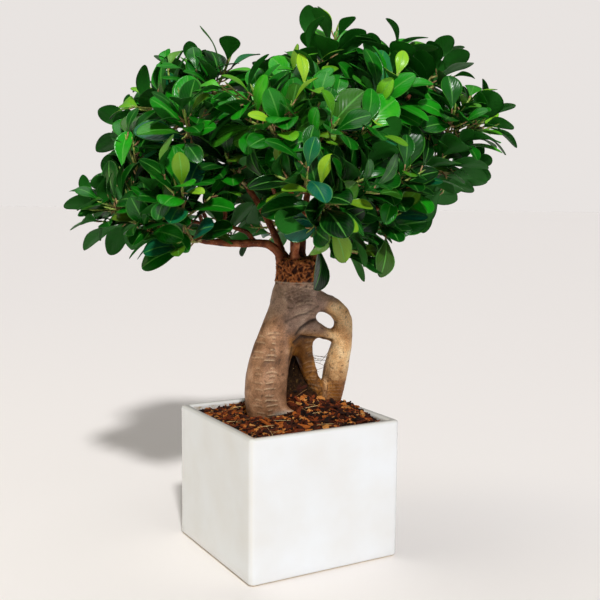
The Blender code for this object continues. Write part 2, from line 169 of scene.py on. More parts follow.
foot = [(30, 1.2), (16, 1.2), (14.5, 0.3), (13.5, 0), (4, 0), (2.2, 0.4), (1.4, 1.1)]
outline = [(inset * MM, height * MM) for inset, height in foot]
outline += [(0.5 * MM, 1.9 * MM), (0, 3.2 * MM)]
outline += [(0, 3.2 * MM + (POT_HEIGHT - RIM - 3.2 * MM) * k / 16) for k in range(1, 16)]
for step in range(9):
    angle = math.pi / 2 * step / 8
    outline.append((RIM * (1 - math.cos(angle)), POT_HEIGHT - RIM * (1 - math.sin(angle))))
for step in range(1, 9):
    angle = math.pi / 2 * step / 8
    outline.append((WALL - RIM * (1 - math.sin(angle)), POT_HEIGHT - RIM * (1 - math.cos(angle))))
inside_from = len(outline) - 4
outline += [(WALL, POT_HEIGHT - drop * MM) for drop in (4.5, 7, 12, 25)]
outline += [(WALL, FLOOR + RIM), (WALL + RIM, FLOOR)]

vertices, bare, inside, thin = [], [], [], []
for level, (inset, height) in enumerate(outline):
    for point in square_ring(inset, height):
        wall = (1 - min(1, abs(point.x) / POT_HALF) ** 4) + (1 - min(1, abs(point.y) / POT_HALF) ** 4)
        waist = 1 - (2 * height / POT_HEIGHT - 1) ** 2
        flat = Vector((point.x, point.y, 0)).normalized()
        if 7 < level < inside_from:
            point -= flat * (SLUMP * min(1, wall) * waist)
            point += flat * (RIPPLE * noise.noise(point * 22))
        vertices.append(point)
        corner = min(abs(point.x), abs(point.y)) / POT_HALF
        bare.append(1.0 if level < 7 else 0.0)
        inside.append(min(1.0, max(0.0, (level - inside_from) / 3)))
        crest = max(0.0, 1 - abs(POT_HEIGHT - height) / (2.2 * MM))
        thin.append(max(crest, 0.8 * max(0.0, (corner - 0.962) / 0.03) if inset < 3 * MM else 0))
count = len(square_ring(0, 0))
faces = quads_between(len(outline), count)
faces += [tuple(reversed(range(count))), tuple(range((len(outline) - 1) * count, len(outline) * count))]
pot_mesh = mesh_of("ceramic_pot_glazed", vertices, faces, bare=bare, inside=inside, thin=thin)

# Opaque white glaze: a hard clear gloss over a milky body, warmer where it thins, with a faint orange peel.
glaze, tree, shader, place = new_material("white_dipped_glaze", {
    "IOR": 1.5, "Coat Weight": 0.5, "Coat Roughness": 0.05,
})
clouds = add_node(tree, "TexNoise", {"Scale": 1 / (55.6 * MM), "Detail": 3.0}, {"Vector": place})
tone = add_node(tree, "ValToRGB", {"stops": [(0.35, "#e1e4e6"), (0.7, "#dcdcda")]}, {"Fac": clouds})
edge_share = add_node(tree, "Math", {"operation": "MULTIPLY", 1: 0.30}, {0: "thin"})
grime = add_node(tree, "TexNoise", {"Scale": 1 / (6.25 * MM), "Detail": 6.0, "Roughness": 0.7},
                 {"Vector": place})
grime_spots = add_node(tree, "ValToRGB", {"stops": [(0.45, 0.25), (0.62, 0.9)]}, {"Fac": grime})
grime_share = add_node(tree, "Math", {"operation": "MULTIPLY"}, {0: "inside", 1: grime_spots})
for share, colour in ((edge_share, "#d9c8a8"), (grime_share, "#a8906c"), ("bare", "#cdbb9c")):
    tone = add_node(tree, "Mix", {7: colour}, {0: share, 6: tone})
gloss = add_node(tree, "MapRange", {"To Min": 0.10, "To Max": 0.85}, {"Value": "bare"})
peel = add_node(tree, "TexNoise", {"Scale": 1 / (3.85 * MM), "Detail": 2.0}, {"Vector": place})
peel_bump = add_node(tree, "Bump", {"Strength": 0.06, "Distance": 0.0004}, {"Height": peel})
wire(tree, shader, {"Base Color": tone, "Roughness": gloss, "Normal": peel_bump})
make_piece("ceramic_pot_glazed", pot_mesh, ["ceramic_pot"], [glaze])

# ---- potting soil
# The block of moist peat compost that fills the planter. It is hidden by the bark on top, so it keeps the
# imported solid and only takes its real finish: near black, crumbly, with pale grains of perlite.

# Moist peat: crumbs so dark and rough that they give back almost no light, and chalky perlite.
peat, tree, shader, place = new_material("moist_peat", {"Roughness": 0.95, "Specular IOR Level": 0.2})
crumbs = add_node(tree, "TexNoise", {"Scale": 1 / (2.86 * MM), "Detail": 8.0}, {"Vector": place})
crumb_tone = add_node(tree, "ValToRGB", {"stops": [(0.3, "#120b07"), (0.7, "#35241a")]}, {"Fac": crumbs})
grains = add_node(tree, "TexVoronoi", {"Scale": 1 / (4.17 * MM)}, {"Vector": place})
perlite = add_node(tree, "ValToRGB", {"stops": [(0.10, 1.0), (0.14, 0.0)]}, {"Fac": grains})
soil_tone = add_node(tree, "Mix", {7: "#d8d2c6"}, {0: perlite, 6: crumb_tone})
soil_bump = add_node(tree, "Bump", {"Strength": 0.8, "Distance": 0.002}, {"Height": crumbs})
wire(tree, shader, {"Base Color": soil_tone, "Normal": soil_bump})
soil_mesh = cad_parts["potting_soil"].data
soil_mesh.materials.clear()
soil_mesh.materials.append(peat)

# ---- rootstock
# The swollen root trunk of a ficus raised from seed, lifted so that its fat roots stand bare. Smooth thin
# bark with cross wrinkles on the fat leg, ochre on the young arching root, corky and dark on the cut neck.

TREE_TURN = math.radians(-30)  # the tree's front is turned to a corner of the planter
TO_TREE = Matrix.Rotation(-TREE_TURN, 3, "Z")
FROM_TREE = Matrix.Rotation(TREE_TURN, 3, "Z")


def grown_surface(node, voxel, smoothing, extra=None):
    """The solid of a node, closed over at a fine grain and smoothed as growing bark is."""
    item = bpy.data.objects.new("work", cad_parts[node].data.copy())
    if extra is not None:
        start = len(item.data.vertices)
        points = [tuple(v.co) for v in item.data.vertices] + [tuple(p) for p in extra[0]]
        polygons = [tuple(p.vertices) for p in item.data.polygons]
        polygons += [tuple(i + start for i in face) for face in extra[1]]
        item.data = bpy.data.meshes.new("work")
        item.data.from_pydata(points, [], polygons)
    bpy.context.scene.collection.objects.link(item)
    weld = item.modifiers.new("weld", "WELD")
    weld.merge_threshold = 0.00001
    fine = item.modifiers.new("fine", "REMESH")
    fine.mode = "VOXEL"
    fine.voxel_size = voxel
    soft = item.modifiers.new("soft", "SMOOTH")
    soft.iterations = smoothing
    mesh = bpy.data.meshes.new_from_object(item.evaluated_get(bpy.context.evaluated_depsgraph_get()))
    bpy.data.objects.remove(item)
    return mesh


def points_and_normals(mesh):
    """The points of a mesh and their normals, one row each."""
    points, normals = np.zeros((2, len(mesh.vertices) * 3))
    mesh.vertices.foreach_get("co", points)
    mesh.vertices.foreach_get("normal", normals)
    return points.reshape(-1, 3), normals.reshape(-1, 3)


def ramp(values, low, high):
    """0 below low, 1 above high, eased in between."""
    t = np.clip((values - low) / (high - low), 0, 1)
    return t * t * (3 - 2 * t)


def noise_at(points, scale, stretch=(1, 1, 1), shift=0.0):
    """Smooth noise between -1 and 1 at each point; scale is the size of a lump in metres."""
    size = np.array(stretch) / scale
    return np.array([noise.noise(Vector(p * size) + Vector((shift, 0, 0))) for p in points])


# Places on the rootstock, in millimetres as seen from the tree's front: across from its middle, and height.
NECK_FROM = (260, 265)
LEG_TOP = (222, 240)
ARCH_TOP = (238, 250)
ARCH_SIDE = (34, 42)
INNER_TOP = (206, 222)
FOOT_TOP = (152, 182)
LEG_LEVELS = np.arange(120, 216, 6)
SCAR_ACROSS, SCAR_HEIGHT = 9, 251.5  # where a stem was cut off
TIE_HEIGHT = 263.5  # the mark of the grafting tie
CREVICE_SHADE_REACH = 16 * MM

root_mesh = grown_surface("rootstock", 1.0 * MM, 9)
points, normals = points_and_normals(root_mesh)
across, height = (points @ np.array(TO_TREE).T / MM).T[[0, 2]]
facing = (normals @ np.array(TO_TREE).T)[:, 1]


def surface_of(mesh):
    """A tree of a mesh's faces, for finding what is near or below."""
    return BVHTree.FromPolygons([v.co[:] for v in mesh.vertices], [p.vertices[:] for p in mesh.polygons])


def cross_wrinkles(centre, pitch, reach, seed):
    """Short wrinkles one above another, each a raised lip over a fine groove: 1 on a lip, -1 in a groove."""
    bent = height + 1.3 * waver + 0.03 * (across - centre) ** 2
    number = np.round(bent / pitch)

    def chance(k):
        """A number between -0.5 and 0.5 for each wrinkle."""
        return (np.sin(number * 12.9898 * k + seed) * 4375.85) % 1 - 0.5

    drop = bent - number * pitch - chance(1) * pitch * 0.5
    span = reach * (0.85 + 1.2 * chance(2))
    aside = np.abs(across - centre - 3 * chance(3))
    lip = np.exp(-(drop / 0.65) ** 2) - 0.9 * np.exp(-((drop + 1.35) / 0.65) ** 2)
    return lip * (1 - ramp(aside, span * 0.55, span))


def fold(line, width):
    """A fold in the bark of the front, along a line of points across and up: 1 at its bottom."""
    nearest = np.full(len(across), 1e9)
    for (x0, z0), (x1, z1) in zip(line, line[1:]):
        run = (x1 - x0) ** 2 + (z1 - z0) ** 2
        t = np.clip(((across - x0) * (x1 - x0) + (height - z0) * (z1 - z0)) / run, 0, 1)
        nearest = np.minimum(nearest, np.hypot(across - x0 - t * (x1 - x0), height - z0 - t * (z1 - z0)))
    return np.exp(-((nearest + 0.5 * waver) / width) ** 2) * (1 - ramp(facing, -0.35, 0.0))


waver = noise_at(points, 0.009, shift=21.0)
folds = fold([(9, 213), (14, 220), (22, 226), (31, 228), (40, 225)], 1.6)
folds = np.maximum(folds, fold([(7, 205), (13, 210), (22, 209), (33, 207), (43, 204)], 1.7))
folds = np.maximum(folds, 0.6 * fold([(-2, 226), (8, 231), (20, 235), (30, 240)], 1.2))
folds = np.maximum(folds, 0.8 * fold([(5, 200), (3, 188), (4, 176)], 1.6))
neck = ramp(height + 2.5 * noise_at(points, 0.006), *NECK_FROM)
leg = (1 - ramp(across + (height - 160) * 0.10, 0, 9)) * (1 - ramp(height + 5 * waver, *LEG_TOP))
arch = ramp(across, *ARCH_SIDE) * (1 - ramp(height + 5 * waver, *ARCH_TOP))
inner = (1 - leg) * (1 - arch) * (1 - ramp(height, *INNER_TOP))
arch_foot = arch * (1 - ramp(height + 5 * waver, *FOOT_TOP))
leg_foot = leg * (1 - ramp(height + 4 * waver, 134, 142)) * ramp(across, -16, -8)
middles = [across[(leg > 0.5) & (np.abs(height - level) < 4)].mean() for level in LEG_LEVELS]
leg_middle = np.interp(height, LEG_LEVELS, middles)
on_leg = leg * ramp(height, 128, 134) * (1 - ramp(height, 212, 224)) * ramp(np.abs(facing), 0.15, 0.4)
side_shift = np.where(facing < 0, 0.0, 3.0)
wrinkles = on_leg * (
    0.55 * cross_wrinkles(leg_middle - 7 + side_shift, 7.3, 5.0, 1.0)
    + cross_wrinkles(leg_middle + 5 - side_shift, 5.4, 6.0, 4.0)
)
wrinkles += arch_foot * cross_wrinkles(48, 3.4, 14.0, 2.0) * 0.3
wrinkles += (1 - neck) * ramp(height, 226, 234) * cross_wrinkles(18 + 4 * waver, 4.6, 13.0, 6.0) * 0.6
wrinkles += inner * cross_wrinkles(24, 5.0, 9.0, 8.0) * 0.4
lumps = 0.6 * noise_at(points, 0.020) + 0.28 * noise_at(points, 0.007)
lumps += (1 - arch) * (1 - neck) * 0.9 * noise_at(points, 0.011, (1, 1, 0.22), 3.0)
skin = noise_at(points, 0.0028, (1, 1, 0.6), 31.0)
striae = noise_at(points, 0.0022, (1, 1, 0.10), 5.0)
cork = np.abs(noise_at(points, 0.0040, (1, 1, 0.8), 7.0)) + 0.7 * np.abs(noise_at(points, 0.0020, shift=8.0))
pits = ramp(noise_at(points, 0.0034, shift=12.0), 0.42, 0.62)
crumpled = 1.8 * waver + 2.4 * noise_at(points, 0.0050, shift=17.0)
scar_distance = np.hypot((across - SCAR_ACROSS) * 0.68, (height - SCAR_HEIGHT) * 1.15)
scar_distance += crumpled + 40 * ramp(facing, -0.35, -0.2)
scar = 1 - ramp(scar_distance, 8.0, 10.5)
scar_rings = np.cos(scar_distance * 1.7)
tie = np.exp(-(((height - TIE_HEIGHT) / 0.5) ** 2)) * (1 - scar)
relief = (
    lumps + 0.45 * wrinkles + (1 - neck) * (0.16 * skin - 0.35 * pits) + arch * striae * 0.20
    + neck * (1.7 - 3.4 * cork) + scar * (0.6 + 0.22 * scar_rings - 1.3 * cork) + 0.3 * tie - 1.5 * folds
)
points += normals * (relief[:, None] * MM)
root_mesh.vertices.foreach_set("co", points.ravel())
root_surface = surface_of(root_mesh)
# Painted shade: points that short rays find hemmed in by the rootstock, and the folds, are darkened.
fan = [Vector((math.cos(a) * 0.75, math.sin(a) * 0.75, 0.66)) for a in np.arange(6) * math.tau / 6]
crevice = np.zeros(len(points))
for k, (point, normal) in enumerate(zip(points, normals)):
    turned = Vector(normal).to_track_quat("Z", "Y").to_matrix()
    start = Vector(point) + Vector(normal) * (0.6 * MM)
    crevice[k] = sum(root_surface.ray_cast(start, turned @ ray, CREVICE_SHADE_REACH)[0] is not None for ray in fan)
crevice = np.maximum(ramp(crevice + 0.8 * waver, 0.6, 4.0), folds)
name_numbers(
    root_mesh, crevice=crevice, neck=neck, leg=leg, arch=arch, inner=inner, arch_foot=arch_foot,
    leg_foot=leg_foot, tie=tie, lip=np.clip(wrinkles, 0, 1), cork=np.clip(cork * 1.5, 0, 1),
    groove=np.clip(np.maximum(-wrinkles, pits * (1 - neck)), 0, 1),
    scar=scar * np.clip(0.25 - 0.2 * scar_rings + 0.55 * cork, 0, 1),
)

# Ficus root bark: waxy and tight, tan on the fat leg, honey on the young arching root; the grey of the
# shoulders is painted shadow of the crown. Lips of the wrinkles are pale, partly paler cork and partly
# painted highlight;
# grooves are dark with painted shade and pits are dark pores; crotches and creases get painted shade; the
# neck is dull dark cork.
root_bark, tree, shader, place = new_material("ficus_root_bark", {"Specular IOR Level": 0.3})
patches = add_node(tree, "TexNoise", {"Scale": 1 / (18.2 * MM), "Detail": 7.0, "Roughness": 0.62},
                   {"Vector": place})
tone = None
# Painted shadow: the first, grey palette lies on the shoulders, where no zone below reaches: the crown's
# shadow.
for label, dark, middle, light in (
    (None, "#7d6455", "#a68672", "#c4a893"), ("inner", "#5a3510", "#966024", "#c08c46"),
    ("leg", "#694830", "#936a4b", "#b88d6c"), ("arch", "#b98450", "#dcae78", "#edcd9c"),
    ("arch_foot", "#5a2d0e", "#8d5520", "#b47a3a"), ("leg_foot", "#8f8474", "#aca090", "#c4baa8"),
):
    stops = [(0.34, dark), (0.5, middle), (0.66, light)]
    bark = add_node(tree, "ValToRGB", {"stops": stops}, {"Fac": patches})
    if label:
        bark = add_node(tree, "Mix", None, {0: label, 6: tone, 7: bark})
    tone = bark
# Pale lips: partly paler cork, partly painted highlight; dark grooves: painted shade; dark pits: the bark's
# pores.
for label, colour, most in (
    ("lip", "#dcc29c", 0.55), ("groove", "#4a3321", 0.75),
    # The scar's dark is its own; the near-black of the crevices is painted shade.
    ("scar", "#4a3020", 0.8), ("crevice", "#201008", 0.9),
):
    share = add_node(tree, "Math", {"operation": "MULTIPLY", 1: most}, {0: label})
    tone = add_node(tree, "Mix", {7: colour}, {0: share, 6: tone})
speckle = add_node(tree, "TexNoise", {"Scale": 1 / (1.11 * MM), "Detail": 4.0, "Roughness": 0.6},
                   {"Vector": place})
speckle_tone = add_node(tree, "ValToRGB", {"stops": [(0.34, 0.62), (0.62, 1.1)]}, {"Fac": speckle})
tone = add_node(tree, "Mix", {"blend_type": "MULTIPLY", 0: 1.0}, {6: tone, 7: speckle_tone})
neck_tone = add_node(tree, "ValToRGB", {"stops": [(0.04, "#d08a50"), (0.32, "#9c582c"), (0.80, "#38190b")]},
                     {"Fac": "cork"})
tone = add_node(tree, "Mix", None, {0: "neck", 6: tone, 7: neck_tone})
tie_share = add_node(tree, "Math", {"operation": "MULTIPLY", 1: 0.7}, {0: "tie"})
tone = add_node(tree, "Mix", {7: "#b7a48e"}, {0: tie_share, 6: tone})
dull = add_node(tree, "MapRange", {"To Min": 0.50, "To Max": 0.9}, {"Value": "neck"})
grain = add_node(tree, "Bump", {"Strength": 0.5, "Distance": 0.0005}, {"Height": speckle})
wire(tree, shader, {"Base Color": tone, "Roughness": dull, "Normal": grain})
make_piece("rootstock_bark", root_mesh, ["rootstock"], [root_bark])

# ---- bark mulch
# A dressing of shredded pine bark, poured loose and heaped round the roots: a bed of fines with split chips
# and straw on it. Between the legs stands the old root ball, darker, with dead root hairs hanging from it.

MOUND = FROM_TREE @ Vector((13 * MM, 26 * MM, 0))
MOUND_TOP = (9 * MM, 18 * MM)  # the top of the root ball runs out between these distances from its middle
MOUND_RISE, MOUND_SWELL = 9 * MM, 1.2 * MM
MOSS_EDGE = (20 * MM, 30 * MM)
DROP_FROM = 0.2  # chips and straw are dropped from this height
CHIPS, FIBRES, HAIRS = 1500, 120, 46
CHIP_REACH = POT_HALF - WALL - 2.5 * MM
CHIP_SECTIONS = 5
bed_mesh = grown_surface("bark_mulch", 1.5 * MM, 2)
points, normals = points_and_normals(bed_mesh)
lift = ramp(normals[:, 2], 0.2, 0.6) * ramp(points[:, 2], 0.120, 0.124)
lift *= 1 - ramp(np.abs(points[:, :2]).max(1), POT_HALF - WALL - 1.6 * MM, POT_HALF - WALL - 0.4 * MM)
crumble = 0.9 * noise_at(points, 0.007) + 0.7 * noise_at(points, 0.0032, shift=4.0)
points[:, 2] += lift * crumble * MM
from_mound = np.hypot(points[:, 0] - MOUND.x, points[:, 1] - MOUND.y)
crown_of_mound = (1 - ramp(from_mound, *MOUND_TOP)) * ramp(points[:, 2], 0.152, 0.178)
points[:, 2] += crown_of_mound * MOUND_RISE
points += normals * (crown_of_mound[:, None] * MOUND_SWELL)
bed_mesh.vertices.foreach_set("co", points.ravel())
moss = (1 - ramp(from_mound, *MOSS_EDGE)) * ramp(points[:, 2], 0.141, 0.150)
name_numbers(bed_mesh, moss=moss)

# Bark fines: dark, fibrous and dry, so they scatter light with no gloss.
fines, tree, shader, place = new_material("bark_fines", {"Roughness": 0.95, "Specular IOR Level": 0.15})
shreds = add_node(tree, "TexNoise", {"Scale": 1 / (2.38 * MM), "Detail": 8.0, "Roughness": 0.7},
                  {"Vector": place})
fine_tone = add_node(tree, "ValToRGB", {"stops": [(0.32, "#100602"), (0.52, "#351405"), (0.72, "#74360f")]},
                     {"Fac": shreds})
moss_tone = add_node(tree, "ValToRGB", {"stops": [(0.34, "#0d0703"), (0.56, "#301c0a"), (0.74, "#6b5528")]},
                     {"Fac": shreds})
bed_tone = add_node(tree, "Mix", None, {0: "moss", 6: fine_tone, 7: moss_tone})
rough_bed = add_node(tree, "Bump", {"Strength": 0.9, "Distance": 0.0016}, {"Height": shreds})
wire(tree, shader, {"Base Color": bed_tone, "Normal": rough_bed})
make_piece("bark_mulch_bed", bed_mesh, ["bark_mulch"], [fines])

bed_surface = surface_of(bed_mesh)
rng = random.Random(11)
vertices, faces, tones = [], [], []
made = 0
while made < CHIPS:
    x, y = rng.uniform(-CHIP_REACH, CHIP_REACH), rng.uniform(-CHIP_REACH, CHIP_REACH)
    length = min(20, 4 + rng.expovariate(1 / 3.6)) * MM
    width = rng.uniform(1.6, 4.8) * MM * min(1, 0.6 + length / 0.02)
    thick = rng.uniform(0.5, 1.6) * MM
    hit, normal, _, _ = bed_surface.ray_cast(Vector((x, y, DROP_FROM)), Vector((0, 0, -1)))
    if hit is None:
        continue
    heading = Matrix.Rotation(rng.uniform(0, math.tau), 3, "Z") @ Vector((1, 0, 0))
    along = (heading - normal * heading.dot(normal)).normalized()
    along = (along + normal * rng.gauss(0, 0.24)).normalized()  # a few stick up
    side = normal.cross(along).normalized()
    side = (side + normal * rng.gauss(0, 0.3)).normalized()
    up = along.cross(side)
    middle = hit + normal * (thick * rng.uniform(0.1, 1.1))
    ends = [middle + along * (length / 2 * e) for e in (-1, 0, 1)]
    if any(max(abs(p.x), abs(p.y)) > CHIP_REACH for p in ends):
        continue
    if any(root_surface.find_nearest(p)[3] < width * 0.6 for p in ends):
        continue
    on_mound = (middle - Vector((MOUND.x, MOUND.y, middle.z))).length < 26 * MM and middle.z > 0.146
    if on_mound and rng.random() < 0.85:
        continue
    made += 1
    first = len(vertices)
    bow = rng.uniform(-0.12, 0.12) * length
    for k in range(CHIP_SECTIONS):
        t = k / (CHIP_SECTIONS - 1)
        taper = (0.35 + 0.65 * math.sin(math.pi * (0.12 + 0.76 * t))) * rng.uniform(0.75, 1.2)
        centre = middle + along * (length * (t - 0.5)) + side * (bow * math.sin(math.pi * t))
        for s, u in ((-1, -1), (1, -1), (1, 1), (-1, 1)):
            vertices.append(
                centre + side * (s * width / 2 * taper * rng.uniform(0.8, 1.15))
                + up * (u * thick / 2 * rng.uniform(0.6, 1.25)) + along * (rng.uniform(-0.09, 0.09) * length)
            )
    faces.append((first + 3, first + 2, first + 1, first))
    for k in range(CHIP_SECTIONS - 1):
        for s in range(4):
            a, b = first + 4 * k + s, first + 4 * k + (s + 1) % 4
            faces.append((a, b, b + 4, a + 4))
    last = first + 4 * (CHIP_SECTIONS - 1)
    faces.append((last, last + 1, last + 2, last + 3))
    tones += [rng.random() ** 1.3] * (4 * CHIP_SECTIONS)
chip_mesh = mesh_of("bark_mulch_chips", vertices, faces, tone=tones)

# Split bark: each chip is its own tone from near black to orange inner bark, streaked along the grain.
chips, tree, shader, place = new_material("split_pine_bark", {"Roughness": 0.85, "Specular IOR Level": 0.25})
streaks = add_node(tree, "TexNoise", {"Scale": 1 / (1.67 * MM), "Detail": 4.0, "Distortion": 1.2},
                   {"Vector": place})
shift = add_node(tree, "MapRange", {"To Min": -0.16, "To Max": 0.16}, {"Value": streaks})
varied = add_node(tree, "Math", {"operation": "ADD"}, {0: "tone", 1: shift})
chip_tone = add_node(tree, "ValToRGB", {"stops": [
    (0.05, "#120602"), (0.98, "#c98c48"), (0.32, "#3b1505"), (0.62, "#74300c"), (0.84, "#a85a1c")]},
    {"Fac": varied})
split = add_node(tree, "Bump", {"Strength": 0.6, "Distance": 0.0006}, {"Height": streaks})
wire(tree, shader, {"Base Color": chip_tone, "Normal": split})
make_piece("bark_mulch_chips", chip_mesh, [], [chips])
chip_mesh.shade_flat()


def run_tube(path, radii, sides):
    """A closed tube along a path, with its radius at each point of it: points and faces."""
    points = []
    spread = None
    for k, middle in enumerate(path):
        ahead = (path[min(k + 1, len(path) - 1)] - path[max(k - 1, 0)]).normalized()
        spread = ahead.orthogonal() if spread is None else spread
        spread = (spread - ahead * spread.dot(ahead)).normalized()
        other = ahead.cross(spread)
        for s in range(sides):
            turn = math.tau * s / sides
            points.append(middle + (spread * math.cos(turn) + other * math.sin(turn)) * radii[k])
    polygons = quads_between(len(path), sides)
    polygons += [tuple(reversed(range(sides))), tuple(range((len(path) - 1) * sides, len(path) * sides))]
    return points, polygons


# Straw, bast and fine dead roots lie among the chips and hang from the old root ball.
vertices, faces, tones = [], [], []
for number in range(FIBRES + HAIRS):
    hair = number >= FIBRES
    if hair:
        origin = FROM_TREE @ Vector((rng.uniform(4, 42) * MM, rng.uniform(4, 30) * MM, 0))
        origin.z = rng.uniform(0.150, 0.196)
        length, radius = rng.uniform(9, 22) * MM, rng.uniform(0.14, 0.26) * MM
        spot, normal, _, _ = root_surface.find_nearest(origin)
        heading = Vector((rng.gauss(0, 0.7), rng.gauss(0, 0.7), rng.uniform(-1.2, 0.1))) + normal * 0.5
    else:
        x, y = rng.uniform(-CHIP_REACH, CHIP_REACH), rng.uniform(-CHIP_REACH, CHIP_REACH)
        spot, normal, _, _ = bed_surface.ray_cast(Vector((x, y, DROP_FROM)), Vector((0, 0, -1)))
        if spot is None:
            continue
        length, radius = rng.uniform(8, 26) * MM, rng.uniform(0.15, 0.38) * MM
        turned = Matrix.Rotation(rng.uniform(0, math.tau), 3, "Z")
        heading = turned @ Vector((1, 0, rng.uniform(-0.05, 0.25)))
        spot = spot + normal * (1.4 * MM)
    heading.normalize()
    aside = heading.cross(Vector((0.3, 0.2, 1))).normalized()
    bow, sag = rng.uniform(-0.35, 0.35), rng.uniform(0.0, 0.25)
    path = [spot + (heading * t + aside * (bow * t * t) - Vector((0, 0, sag * t * t))) * length
            for t in (0, 0.25, 0.5, 0.75, 1.0)]
    if any(max(abs(p.x), abs(p.y)) > CHIP_REACH for p in path):
        continue
    first = len(vertices)
    points, polygons = run_tube(path, [radius, radius, radius * 0.9, radius * 0.8, radius * 0.5], 5)
    vertices += points
    faces += [tuple(i + first for i in face) for face in polygons]
    tones += [0.45 * rng.random() if hair else 0.45 + 0.55 * rng.random()] * len(points)
fibre_mesh = mesh_of("bark_mulch_fibres", vertices, faces, tone=tones)

# Dry fibre: thin enough to read as lines, straw-coloured on the bark and dark brown on the root ball, dull.
straw, tree, shader, place = new_material("dry_fibre", {"Roughness": 0.8, "Specular IOR Level": 0.25})
streaks = add_node(tree, "TexNoise", {"Scale": 1 / (2 * MM), "Detail": 3.0}, {"Vector": place})
shift = add_node(tree, "MapRange", {"To Min": -0.12, "To Max": 0.12}, {"Value": streaks})
varied = add_node(tree, "Math", {"operation": "ADD"}, {0: "tone", 1: shift})
straw_tone = add_node(tree, "ValToRGB", {"stops": [
    (0.05, "#2c170c"), (0.95, "#d8bd85"), (0.45, "#7a5230"), (0.70, "#b08a52")]}, {"Fac": varied})
wire(tree, shader, {"Base Color": straw_tone})
make_piece("bark_mulch_fibres", fibre_mesh, [], [straw])

# ---- grafted branches
# Eight scions of a small-leaved ficus, grafted into the cut neck of the rootstock and pruned to a crown.
# Each swells where it has grown on to the neck, and carries a thin reddish bark with pale lenticels.

# Young ficus bark: satin, red-brown with greyer patches and fine raised pores.
branch_bark, tree, shader, place = new_material(
    "young_ficus_bark", {"Roughness": 0.68, "Specular IOR Level": 0.35})
patches = add_node(tree, "TexNoise", {"Scale": 1 / (8.33 * MM), "Detail": 6.0}, {"Vector": place})
bark_tone = add_node(tree, "ValToRGB", {"stops": [(0.30, "#471f10"), (0.52, "#80401f"), (0.72, "#ad6c42")]},
                     {"Fac": patches})
pores = add_node(tree, "TexVoronoi", {"Scale": 1 / (2.38 * MM)}, {"Vector": place})
pore_share = add_node(tree, "ValToRGB", {"stops": [(0.12, 0.7), (0.2, 0.0)]}, {"Fac": pores})
pored = add_node(tree, "Mix", {7: "#b98f68"}, {0: pore_share, 6: bark_tone})
bark_bump = add_node(tree, "Bump", {"Strength": 0.5, "Distance": 0.0006}, {"Height": patches})
wire(tree, shader, {"Base Color": pored, "Normal": bark_bump})

COLLAR_RADII = [6.2 * MM, 5.6 * MM, 4.6 * MM, 3.2 * MM]  # of the swelling at a scion's foot
ARMS = {  # short side arms, left when the scion was cut back
    "left_branch": [
        [(-30, -10, 300), (-40, -6, 311), (-56, -4, 316), (-80, -6, 318), (-96, -10, 322)],
        [(-62, -14, 301), (-64, -13, 312), (-60, -10, 326), (-62, -8, 342)],
        [(-64, -13, 308), (-76, -16, 320), (-84, -18, 336)],
        [(-84, -17, 304), (-80, -22, 318), (-84, -26, 330)],
    ],
    "upper_left_branch": [[(-22, 20, 325), (-12, 16, 342), (-8, 10, 362)]],
    "front_top_branch": [[(4, -18, 326), (-8, -26, 338), (-16, -34, 356)]],
    "right_branch": [[(40, -10, 306), (50, -4, 322), (54, 2, 340)]],
}
branch_names = sorted(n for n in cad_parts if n.endswith("_branch") or n == "leader")
for name in branch_names:
    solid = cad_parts[name].data
    base = min((v.co for v in solid.vertices), key=lambda p: p.z).copy()
    foot_points = [v.co for v in solid.vertices if (v.co - base).length < 9 * MM]
    base = sum(foot_points, Vector()) / len(foot_points)
    inward = FROM_TREE @ Vector((10 * MM, 0, 0)) - Vector((base.x, base.y, 0))
    sunk = base + inward.normalized() * 2.5 * MM + Vector((0, 0, -7 * MM))
    collar = run_tube([sunk, base.lerp(sunk, 0.45), base, base + Vector((0, 0, 3 * MM))], COLLAR_RADII, 10)
    for arm in ARMS.get(name, ()):
        path = [FROM_TREE @ (Vector(p) * MM) for p in arm]
        radii = [(2.4 - 0.9 * k / len(path)) * MM for k in range(len(path))]
        arm_points, arm_faces = run_tube(path, radii, 8)
        start = len(collar[0])
        collar = (collar[0] + arm_points, collar[1] + [tuple(i + start for i in f) for f in arm_faces])
    mesh = grown_surface(name, 0.8 * MM, 5, collar)
    points, normals = points_and_normals(mesh)
    knots = 0.35 * noise_at(points, 0.009) + 0.22 * noise_at(points, 0.003, shift=2.0) + 0.15
    mesh.vertices.foreach_set("co", (points + normals * (knots[:, None] * MM)).ravel())
    make_piece(name + "_bark", mesh, [name], [branch_bark])

# ---- leaf sprays
# Shoots of the grafted ficus. Each is a slim twig, grey-tan below and green at its growing end, with thick
# glossy oval leaves set round it on short stalks, pale beneath, and a pointed sheath at its tip.


